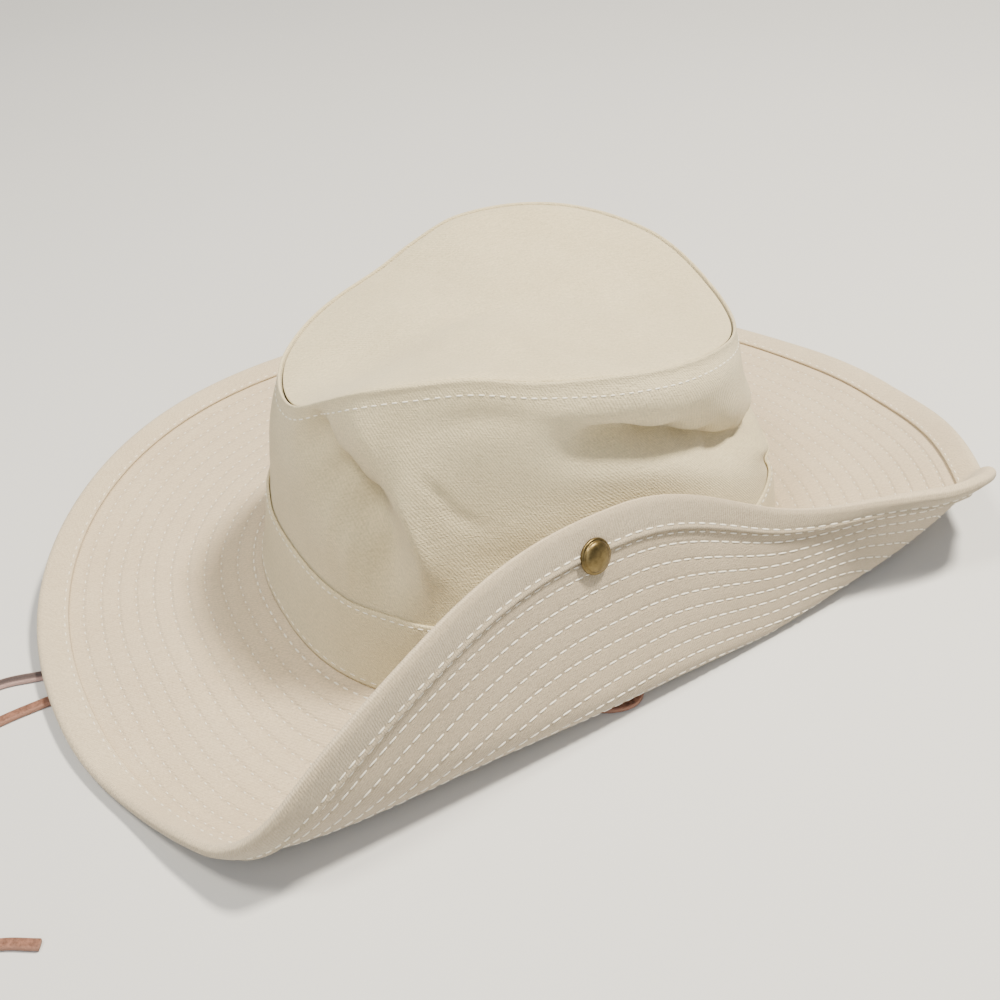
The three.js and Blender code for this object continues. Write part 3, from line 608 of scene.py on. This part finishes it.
def make_binding():
    """Folded strip around the brim's edge, puckered, with a ridge where it is turned in underneath."""
    angles = np.arange(RING_START, RING_START + 360, 0.75)
    inside, outside = BRIM_WALL / 2 + CLEARANCE, BRIM_WALL / 2 + CLEARANCE + BINDING_WALL
    start, turn = BRIM_WIDTH - BINDING_WIDTH, BRIM_WIDTH - BRIM_WALL / 2 - CLEARANCE - BINDING_WALL
    over = [(start, inside + 0.35), (start + 0.15, outside - 0.15), (start + 0.6, outside + 0.05),
            (start + 1.4, outside - 0.15), (start + 2.4, outside + 0.08), (start + 5, outside + 0.22),
            (start + 8, outside + 0.12)]
    ridge = [(start, -inside - 0.45), (start - 0.05, -outside - 0.3), (start + 0.6, -outside - 0.7),
             (start + 1.2, -outside - 0.35), (start + 1.8, -outside + 0.1),
             (start + 2.8, -outside - 0.12), (start + 5, -outside - 0.25), (start + 8, -outside - 0.12)]
    arc = [(turn + outside * math.cos(t), outside * math.sin(t))
           for t in np.radians(np.arange(90, -91, -22.5))]
    hollow = [(turn + inside * math.cos(t), inside * math.sin(t))
              for t in np.radians(np.arange(-90, 91, 30))]
    section = over + arc + ridge[::-1] + [(start, -inside), (start + 6, -inside)] + hollow
    section += [(start + 6, inside), (start, inside)]
    rings = []
    for number, (reach, height) in enumerate(section):
        skin = number < len(over) + len(arc) + len(ridge)
        pucker = 0.09 * np.sin(np.radians(angles * 83 + 40 * np.sin(np.radians(angles * 7)))) * skin
        pucker = pucker * np.sign(height) * bell((reach - start - 4) / 4)
        rings.append(brim_point(angles, reach + 0 * angles, height + pucker))
    points = np.concatenate(rings)
    before = np.array([section[0]] + section[:-1])
    run = np.cumsum(np.hypot(*(np.array(section) - before).T))
    along = angles[None, :] * BINDING_PER_DEGREE
    place = np.stack(np.broadcast_arrays(along, run[:, None], 0 * along), -1)
    # The section's points below the middle are marked for painted shade
    below = np.repeat(np.array([float(height < 0) for _, height in section]), len(angles))
    faces = outward(points, ring_faces(len(section), len(angles), True))
    return make_piece("binding_cloth", points, faces, binding_twill, ("brim_binding",),
                      {"cloth": ("FLOAT_VECTOR", place), "under": ("FLOAT", below)}, len(angles),
                      360 * BINDING_PER_DEGREE)


def make_crown_side():
    """Side panel with its dents, and a raised lip where the seam holds the tip."""
    shares = np.concatenate([[0, 0.06], np.linspace(CROWN_SEAT, 0.985, 62), [1.0]])[:, None]
    outside = crown_point(ANGLES[None, :] + 0 * shares, shares + 0 * ANGLES[None, :], 0.0)
    few = np.append(shares[::3], [[1.0]], 0)
    inside = crown_point(ANGLES[None, :] + 0 * few, few + 0 * ANGLES[None, :], CROWN_WALL)
    lip = []
    for depth, rise in ((0, 0.7), (0.12, 1.3), (0.45, 1.7), (0.9, 1.6), (1.2, 1.1), (1.25, 0.25)):
        ring = crown_point(ANGLES, 1 + 0 * ANGLES, depth)
        ring[:, 2] += rise
        lip.append(ring)
    rings = np.concatenate([outside, np.array(lip), inside[::-1]])
    lip_down = np.array([[1.007], [1.014], [1.02], [1.025], [1.03], [1.04]])
    down = np.concatenate([shares, lip_down, few[::-1]]) * CROWN_HEIGHT
    place = cloth_place(ANGLES[None, :] + 0 * down, down)
    points = rings.reshape(-1, 3)
    faces = outward(points, ring_faces(len(rings), len(ANGLES), True))
    return make_piece("crown_side_cloth", points, faces, crown_twill, ("crown_side",),
                      {"cloth": ("FLOAT_VECTOR", place)}, len(ANGLES), 360 * PANEL_PER_DEGREE)


def make_crown_tip():
    """Top panel, domed and bent a little, its edge turned down behind the seam's lip."""
    low, high = CLEARANCE, CLEARANCE + CROWN_WALL
    rows = [(s, high - 0.5 * np.clip((s - 0.9) / 0.065, 0, 1) ** 2) for s in np.linspace(0.04, 0.965, 36)]
    rows += [(0.972, high - 0.65), (0.976, high - 0.85), (0.977, low + 0.4), (0.974, low + 0.1),
             (0.965, low)]
    rows += [(s, low) for s in np.linspace(0.95, 0.04, 14)]
    rings = [tip_point(ANGLES, s + 0 * ANGLES, h) for s, h in rows]
    points = np.concatenate(rings + [tip_point(np.array([0.0]), np.array([0.0]), high),
                                     tip_point(np.array([0.0]), np.array([0.0]), low)])
    count, total = len(ANGLES), len(rings) * len(ANGLES)
    faces = ring_faces(len(rings), count, False)
    faces += [[total, (i + 1) % count, i] for i in range(count)]
    last = total - count
    faces += [[total + 1, last + i, last + (i + 1) % count] for i in range(count)]
    place = np.stack([points[:, 0], points[:, 1], 0 * points[:, 0]], -1)
    return make_piece("crown_tip_cloth", points, outward(points, faces), crown_twill,
                      ("crown_tip",), {"cloth": ("FLOAT_VECTOR", place)})


def band_point(angle, height, out):
    """Point of the hat band at a height above the brim and a distance out from the crown."""
    first = BAND_HEIGHT / 3
    foot = brim_point(angle, out - BAND_WALL - CLEARANCE + 0 * angle,
                      BRIM_WALL / 2 + CLEARANCE + 0 * angle)
    wall = crown_point(angle, np.maximum(height, first) / (CROWN_HEIGHT * tip_rim(angle)), -out)
    t = np.clip(height / first, 0, 1)
    return wall if t >= 1 else foot + (wall - foot) * t


def make_band():
    """Hat band, a folded strip of the crown's cloth around its foot."""
    low, high = CLEARANCE, CLEARANCE + BAND_WALL
    section = [(h, high + 0.05 * math.sin(h)) for h in (0, 1, 1.8, 3, 5, 8, 11, 14, 17, 20, 23, 26, 27.6)]
    section += [(28.6, high - 0.1), (29.4, high), (29.9, high - 0.25), (BAND_HEIGHT, (low + high) / 2),
                (29.9, low + 0.2), (29.4, low)]
    section += [(h, low) for h in (26, 22, 18, 14, 10, 5, 0)]
    rings = [band_point(ANGLES, h, out) for h, out in section]
    points = np.concatenate(rings)
    down = np.array([h for h, _ in section])[:, None] + 7
    place = cloth_place(ANGLES[None, :] + 0 * down, down)
    faces = outward(points, ring_faces(len(section), len(ANGLES), True))
    return make_piece("hat_band_cloth", points, faces, crown_twill, ("hat_band",),
                      {"cloth": ("FLOAT_VECTOR", place)}, len(ANGLES), 360 * PANEL_PER_DEGREE)


# Stitching


def sew(lines, seed):
    """Stitches along closed lines. A line is its point by angle, its normal by angle, its stitch pitch,
    and the length, width and height of a stitch."""
    rng = np.random.default_rng(seed)
    points, faces, start = [], [], 0
    fine = np.arange(-90, 270.01, 0.5)
    for point, normal, pitch, length, width, tall in lines:
        path = point(fine)
        run = np.concatenate([[0], np.cumsum(np.linalg.norm(np.diff(path, axis=0), axis=1))])
        count = int(run[-1] / pitch)
        spots = np.interp((np.arange(count) + 0.5) * run[-1] / count, run, fine)
        spots = spots + rng.uniform(-0.04, 0.04, count)
        middle, up = point(spots), normal(spots)
        ahead = unit(point(spots + 0.15) - point(spots - 0.15))
        side = unit(np.cross(ahead, up) + rng.uniform(-0.05, 0.05, (count, 3)))
        longs = length * rng.uniform(0.9, 1.08, count)[:, None]
        stitch = [middle - ahead * longs / 2 - up * tall * 0.6]
        for share, size in ((-0.34, 0.8), (0, 1), (0.34, 0.8)):
            at = middle + ahead * longs * share
            for s, u in ((1, 0.0), (0.5, 0.85), (-0.5, 0.85), (-1, 0.0), (0, -0.6)):
                stitch.append(at + side * s * size * width / 2 + up * u * size * tall)
        stitch.append(middle + ahead * longs / 2 - up * tall * 0.6)
        block = np.stack(stitch, 1)
        points.append(block.reshape(-1, 3))
        template = [[0, 1 + (i + 1) % 5, 1 + i] for i in range(5)]
        template += [[1 + 5 * k + i, 1 + 5 * k + (i + 1) % 5, 6 + 5 * k + (i + 1) % 5, 6 + 5 * k + i]
                     for k in range(2) for i in range(5)]
        template += [[16, 11 + i, 11 + (i + 1) % 5] for i in range(5)]
        if full_volume(block[0] - block[0].mean(0), template) < 0:
            template = [f[::-1] for f in template]
        for n in range(count):
            faces += [[start + n * 17 + v for v in f] for f in template]
        start += count * 17
    return np.concatenate(points), faces


def brim_line(reach, height, face, length, width=0.75):
    """A row of stitches at a reach, on the top for face 1 and on the underside for face -1."""
    def point(angle):
        return brim_point(angle, reach + 0 * angle, face * height + 0 * angle)

    def normal(angle):
        return brim_normal(angle, reach + 0 * angle) * face

    return point, normal, STITCH_PITCH, length, width, 0.38


def crown_line(height_of, out, length):
    """A row of stitches on the crown's outside, at a height in mm by angle."""
    def share(angle):
        return height_of(angle) / (CROWN_HEIGHT * tip_rim(angle))

    def point(angle):
        return crown_point(angle, share(angle), -out)

    def normal(angle):
        return crown_normal(angle, share(angle))

    return point, normal, 3.4, length, 0.6, 0.22


def make_stitching():
    """Rows on both sides of the brim, the binding's seam, and the rows of the crown and the band."""
    rows = [ROW_FIRST + ROW_PITCH * n for n in range(ROW_COUNT)]
    half, skin = BRIM_WALL / 2, BRIM_WALL / 2 + CLEARANCE + BINDING_WALL
    edge = BRIM_WIDTH - BINDING_WIDTH
    under = [brim_line(row, half, -1, 4.0, 0.64) for row in rows]
    under += [brim_line(edge + 1.9, skin - 0.02, -1, 3.4, 0.7),
              brim_line(edge - 1.6, half, -1, 3.2, 0.64)]
    top = [brim_line(row, half - 0.02, 1, 1.5, 0.6) for row in rows[1:]]
    top += [brim_line(rows[0], half, 1, 2.8), brim_line(edge + 1.4, skin - 0.18, 1, 1.8, 0.6)]
    for name, lines, seed in (("brim_stitches_under", under, 3), ("brim_stitches_top", top, 5)):
        points, faces = sew(lines, seed)
        make_piece(name, points, faces, thread)

    def foot_point(angle):
        return band_point(angle, 2.0, CLEARANCE + BAND_WALL + 0.02)

    def foot_normal(angle):
        return unit(band_point(angle, 2.0, 3.0) - band_point(angle, 2.0, 0.5))

    band_out = CLEARANCE + BAND_WALL
    lines = [
        crown_line(lambda a: CROWN_HEIGHT * tip_rim(a) - 3.2, 0.0, 2.3),
        crown_line(lambda a: BAND_HEIGHT - 1.5 + 0 * a, band_out - 0.02, 2.4),
        (foot_point, foot_normal, STITCH_PITCH, 2.8, 0.7, 0.26),
    ]
    points, faces = sew(lines, 11)
    make_piece("crown_stitches", points, faces, thread)


# Snap, laces and slide


def make_turned(name, profile, place, direction, material, nodes, segments=56):
    """Piece turned about a direction, from (radius, height) pairs that start and end on its axis."""
    direction = unit(direction)
    side = unit(np.cross(direction, [0.3, 1, 0.1]))
    other = np.cross(direction, side)
    turns = np.linspace(0, 2 * math.pi, segments, endpoint=False)[:, None]
    rings = [place + direction * h + r * (np.cos(turns) * side + np.sin(turns) * other)
             for r, h in profile[1:-1]]
    ends = [[place + direction * profile[0][1]], [place + direction * profile[-1][1]]]
    points = np.concatenate(rings + ends)
    total = len(rings) * segments
    faces = ring_faces(len(rings), segments, False)
    faces += [[total, (i + 1) % segments, i] for i in range(segments)]
    last = total - segments
    faces += [[total + 1, last + i, last + (i + 1) % segments] for i in range(segments)]
    return make_piece(name, points, outward(points, faces), material, nodes)


def make_snap():
    """Domed cap with a rolled rim. The hidden socket keeps the CAD's shape and takes the same brass."""
    level = BRIM_WALL / 2 + BINDING_WALL + 2 * CLEARANCE
    angle, reach = np.array([float(SNAP_ANGLE)]), np.array([float(BRIM_WIDTH - SNAP_INSET)])
    normal = -brim_normal(angle, reach)[0]
    seat = brim_middle(angle, reach)[0] + normal * level
    r = SNAP_DIAMETER / 2
    profile = [(0, 0.1), (r - 0.9, 0.1), (r - 0.3, 0), (r, 0.25), (r + 0.02, 0.6), (r - 0.12, 0.95),
               (r - 0.4, 1.12), (r - 0.75, 1.1), (r - 0.95, 1.2)]
    profile += [((r - 0.95) * math.sin(t), 1.2 + 1.9 * math.cos(t) ** 0.9)
                for t in np.radians([80, 68, 55, 42, 29, 16])]
    profile += [(0, 3.12)]
    make_turned("snap_cap_brass", profile, seat, normal, brass, ("snap_cap",))
    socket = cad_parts["snap_socket"]
    socket.data.materials.clear()
    socket.data.materials.append(brass)


def smooth_route(rows, step=1.2):
    """Points a step apart on a centripetal curve through the rows."""
    knots = np.array(rows, float)
    padded = np.vstack([2 * knots[0] - knots[1], knots, 2 * knots[-1] - knots[-2]])
    gaps = np.linalg.norm(np.diff(padded, axis=0), axis=1) ** 0.5
    out = []
    for i in range(1, len(padded) - 2):
        p0, p1, p2, p3 = padded[i - 1 : i + 3]
        d0, d1, d2 = gaps[i - 1], gaps[i], gaps[i + 1]
        t1 = ((p1 - p0) / d0 - (p2 - p0) / (d0 + d1) + (p2 - p1) / d1) * d1
        t2 = ((p2 - p1) / d1 - (p3 - p1) / (d1 + d2) + (p3 - p2) / d2) * d1
        t = np.linspace(0, 1, 40, endpoint=False)[:, None]
        out.append((2 * t**3 - 3 * t**2 + 1) * p1 + (t**3 - 2 * t**2 + t) * t1
                   + (3 * t**2 - 2 * t**3) * p2 + (t**3 - t**2) * t2)
    dense = np.vstack(out + [knots[-1:]])
    run = np.concatenate([[0], np.cumsum(np.linalg.norm(np.diff(dense, axis=0), axis=1))])
    spots = np.linspace(0, run[-1], int(run[-1] / step) + 1)
    return np.stack([np.interp(spots, run, dense[:, k]) for k in range(3)], -1), run[-1]


def make_lace(name, rows, node, material, seed):
    """Flat lace of uneven width along its route, with square cut ends."""
    path, length = smooth_route(rows)
    rng = np.random.default_rng(seed)
    ahead = unit(np.gradient(path, axis=0))
    side = unit(np.cross([0, 0, 1], ahead))
    up = np.cross(ahead, side)
    w, h = LACE_WIDTH / 2, LACE_THICKNESS / 2
    section = [(w, -h * 0.45), (w, h * 0.45), (w - 0.25, h * 0.85), (w - 0.7, h * 0.98), (0, h),
               (0.7 - w, h * 0.98), (0.25 - w, h * 0.85)]
    section += [(-s, -u) for s, u in section]
    count = len(path)
    knots = np.arange(0, count + 6, 6)
    wave = np.interp(np.arange(count), knots, rng.uniform(-1, 1, count // 6 + 2)[: len(knots)])
    wide = (0.97 + 0.03 * wave)[:, None]
    rings = np.stack([path + side * s * wide + up * u for s, u in section], 1)
    points = np.concatenate([rings.reshape(-1, 3), path[:1] - ahead[:1] * 0.2,
                             path[-1:] + ahead[-1:] * 0.2])
    n, total = len(section), count * len(section)
    faces = ring_faces(count, n, False)
    faces += [[total, (i + 1) % n, i] for i in range(n)]
    faces += [[total + 1, total - n + i, total - n + (i + 1) % n] for i in range(n)]
    edge = np.tile([1, 1, 0.7, 0.1, 0, 0.1, 0.7], 2 * count)
    piece = make_piece(name, points, outward(points, faces), material, (node,),
                       {"side": ("FLOAT", np.append(edge, [1, 1]))})
    route = metres(path)
    return piece


def rounded_loop(width, height, corner):
    """Rectangle with round corners, four points to a corner."""
    loop = []
    for cx, cy, first in ((1, 1, 0), (-1, 1, 90), (-1, -1, 180), (1, -1, 270)):
        for t in np.radians(np.linspace(first, first + 90, 4)):
            loop.append((cx * (width / 2 - corner) + corner * math.cos(t),
                         cy * (height / 2 - corner) + corner * math.sin(t)))
    return np.array(loop)


def make_slide():
    """Leather sleeve around both laces."""
    width, height = SLIDE_HOLE[0] + 2 * SLIDE_WALL, SLIDE_HOLE[1] + 2 * SLIDE_WALL
    heading = math.radians(SLIDE_HEADING)
    ahead = np.array([math.cos(heading), math.sin(heading), 0])
    side = np.array([-math.sin(heading), math.cos(heading), 0])
    middle = np.array([*SLIDE_PLACE, height / 2])
    half = SLIDE_LENGTH / 2
    rings = []
    for along, inset in ((-half, 0.5), (-half + 0.15, 0.15), (-half + 0.6, 0), (-2.5, 0.06), (0, 0.12),
                         (2.5, 0.06), (half - 0.6, 0), (half - 0.15, 0.15), (half, 0.5)):
        rings.append((along, rounded_loop(width - 2 * inset, height - 2 * inset, 0.9)))
    for along in (half, 0, -half):
        rings.append((along, rounded_loop(SLIDE_HOLE[0], SLIDE_HOLE[1], 0.4)))
    points = np.concatenate([middle + ahead * a + loop[:, :1] * side + loop[:, 1:] * np.array([0, 0, 1.0])
                             for a, loop in rings])
    faces = outward(points, ring_faces(len(rings), 16, True))
    edge = np.repeat([1, 0.6, 0, 0, 0, 0, 0, 0.6, 1, 1, 1, 1], 16)
    return make_piece("lace_slide_leather", points, faces, near_leather, ("lace_slide",),
                      {"side": ("FLOAT", edge)})


def make_floor():
    mesh = bpy.data.meshes.new("floor")
    mesh.from_pydata([(-8, -8, 0), (8, -8, 0), (8, 8, 0), (-8, 8, 0)], [], [(0, 1, 2, 3)])
    mesh.materials.append(pale_floor())
    floor = bpy.data.objects.new("floor", mesh)
    bpy.context.scene.collection.objects.link(floor)


slide = make_slide()
make_lace("lace_near_leather", NEAR_LACE, "chin_lace_near", near_leather, 21)
make_lace("lace_far_leather", FAR_LACE, "chin_lace_far", far_leather, 22)
make_brim()
make_binding()
make_crown_side()
make_crown_tip()
make_band()
make_stitching()
make_snap()
make_floor()
